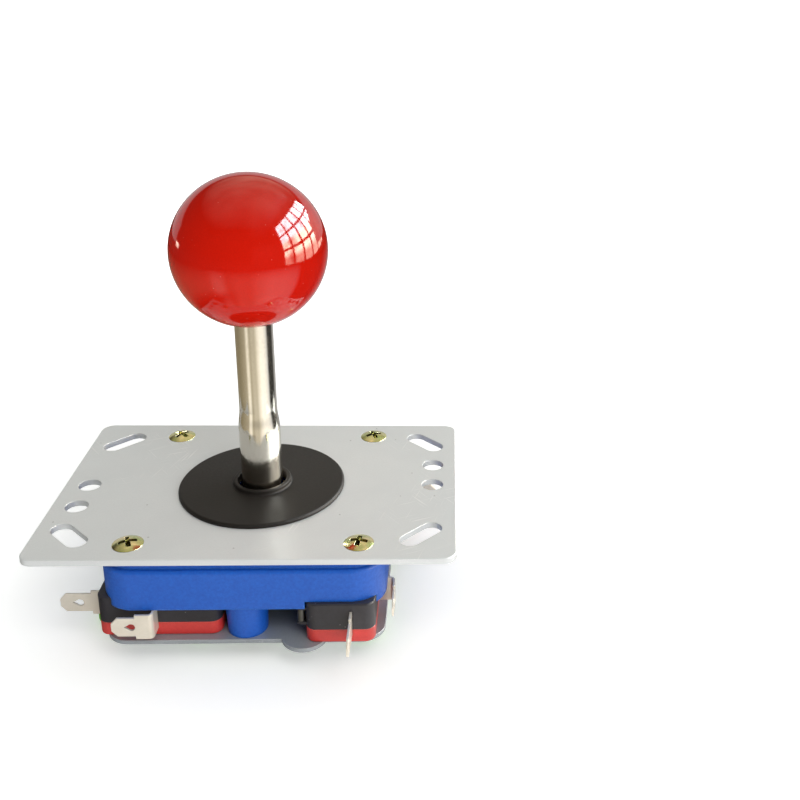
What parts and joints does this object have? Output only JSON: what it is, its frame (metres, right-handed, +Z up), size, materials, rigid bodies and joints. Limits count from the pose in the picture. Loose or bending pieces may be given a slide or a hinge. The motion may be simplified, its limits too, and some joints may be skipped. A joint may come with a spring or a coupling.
{
  "type": "arcade joystick lever",
  "caption": "Ball-top arcade joystick that tilts every way on a panel plate, with a moulded housing, microswitches and a restrictor gate below.",
  "frame": {"origin": "centre of the mounting plate's top face, on the upright lever's axis", "axes": "+Z up along the lever, +X along the plate's long side, -Y to the front"},
  "size_m": [0.097, 0.0864, 0.1088],
  "materials": {
    "plate_steel": "satin grey zinc",
    "black_washer": "matt moulded",
    "blue_plastic": "satin moulded",
    "base_steel": "satin grey zinc",
    "spring_steel": "plated",
    "gate_green": "satin moulded",
    "actuator_green": "satin moulded",
    "yellow_zinc": "yellow passivated",
    "nickel_screw": "nickel plated",
    "case_black": "matt moulded",
    "cover_red": "satin moulded",
    "plunger_white": "satin moulded",
    "tin_blade": "tin plated",
    "shaft_chrome": "polished plate",
    "ball_red": "gloss",
    "ring_black": "oiled black",
    "nylon": "natural nylon"
  },
  "bodies": {
    "frame": {"mounting_plate": "plate_steel", "dust_washer": "black_washer", "housing": "blue_plastic", "base_plate": "base_steel", "seat_washer": "spring_steel", "gate_base": "gate_green", "gate_plate": "gate_green", "plate_screws": "yellow_zinc", "base_screws": "nickel_screw", "gate_screws": "nickel_screw", "front_switch_case": "case_black", "front_switch_cover": "cover_red", "front_switch_end_blade": "tin_blade", "front_switch_common_blade": "tin_blade", "right_switch_case": "case_black", "right_switch_cover": "cover_red", "right_switch_end_blade": "tin_blade", "right_switch_common_blade": "tin_blade", "back_switch_case": "case_black", "back_switch_cover": "cover_red", "back_switch_end_blade": "tin_blade", "back_switch_common_blade": "tin_blade", "left_switch_case": "case_black", "left_switch_cover": "cover_red", "left_switch_end_blade": "tin_blade", "left_switch_common_blade": "tin_blade"},
    "cup": {"pivot_cup": "nylon"},
    "actuator": {"pivot_bush": "nylon", "actuator": "actuator_green", "centring_spring": "spring_steel"},
    "spindle": {"shaft": "shaft_chrome", "ball_top": "ball_red", "retaining_ring": "ring_black"},
    "front_lever": {"front_switch_lever": "spring_steel"},
    "front_plunger": {"front_switch_plunger": "plunger_white"},
    "right_lever": {"right_switch_lever": "spring_steel"},
    "right_plunger": {"right_switch_plunger": "plunger_white"},
    "back_lever": {"back_switch_lever": "spring_steel"},
    "back_plunger": {"back_switch_plunger": "plunger_white"},
    "left_lever": {"left_switch_lever": "spring_steel"},
    "left_plunger": {"left_switch_plunger": "plunger_white"}
  },
  "joints": [
    {"name": "lever_fore_aft", "type": "hinge", "parent": "frame", "child": "cup", "pos_m": [0, 0, -0.002], "axis": [1, 0, 0], "range_deg": [-7, 7], "stiffness_Nm_per_rad": 0.6},
    {"name": "lever_side", "type": "hinge", "parent": "cup", "child": "actuator", "pos_m": [0, 0, -0.002], "axis": [0, 1, 0], "range_deg": [-7, 7], "stiffness_Nm_per_rad": 0.6, "deforming": ["centring_spring"]},
    {"name": "shaft_spin", "type": "hinge", "parent": "actuator", "child": "spindle", "pos_m": [0, 0, -0.002], "axis": [0, 0, 1], "continuous": true},
    {"name": "front_lever_press", "type": "hinge", "parent": "frame", "child": "front_lever", "pos_m": [-0.0306, -0.01295, -0.0159], "axis": [0, 0, -1], "range_deg": [0, 1.97], "stiffness_Nm_per_rad": 0.02},
    {"name": "front_plunger_press", "type": "slide", "parent": "frame", "child": "front_plunger", "axis": [0, -1, 0], "range_m": [0, 0.0006]},
    {"name": "right_lever_press", "type": "hinge", "parent": "frame", "child": "right_lever", "pos_m": [0.01295, -0.0306, -0.0159], "axis": [0, 0, -1], "range_deg": [0, 1.97], "stiffness_Nm_per_rad": 0.02},
    {"name": "right_plunger_press", "type": "slide", "parent": "frame", "child": "right_plunger", "axis": [1, 0, 0], "range_m": [0, 0.0006]},
    {"name": "back_lever_press", "type": "hinge", "parent": "frame", "child": "back_lever", "pos_m": [0.0306, 0.01295, -0.0159], "axis": [0, 0, -1], "range_deg": [0, 1.97], "stiffness_Nm_per_rad": 0.02},
    {"name": "back_plunger_press", "type": "slide", "parent": "frame", "child": "back_plunger", "axis": [0, 1, 0], "range_m": [0, 0.0006]},
    {"name": "left_lever_press", "type": "hinge", "parent": "frame", "child": "left_lever", "pos_m": [-0.01295, 0.0306, -0.0159], "axis": [0, 0, -1], "range_deg": [0, 1.97], "stiffness_Nm_per_rad": 0.02},
    {"name": "left_plunger_press", "type": "slide", "parent": "frame", "child": "left_plunger", "axis": [-1, 0, 0], "range_m": [0, 0.0006]}
  ],
  "couplings": [
    {"joint": "front_plunger_press", "follows": "front_lever_press", "m_per_rad": 0.0174},
    {"joint": "right_plunger_press", "follows": "right_lever_press", "m_per_rad": 0.0174},
    {"joint": "back_plunger_press", "follows": "back_lever_press", "m_per_rad": 0.0174},
    {"joint": "left_plunger_press", "follows": "left_lever_press", "m_per_rad": 0.0174}
  ]
}
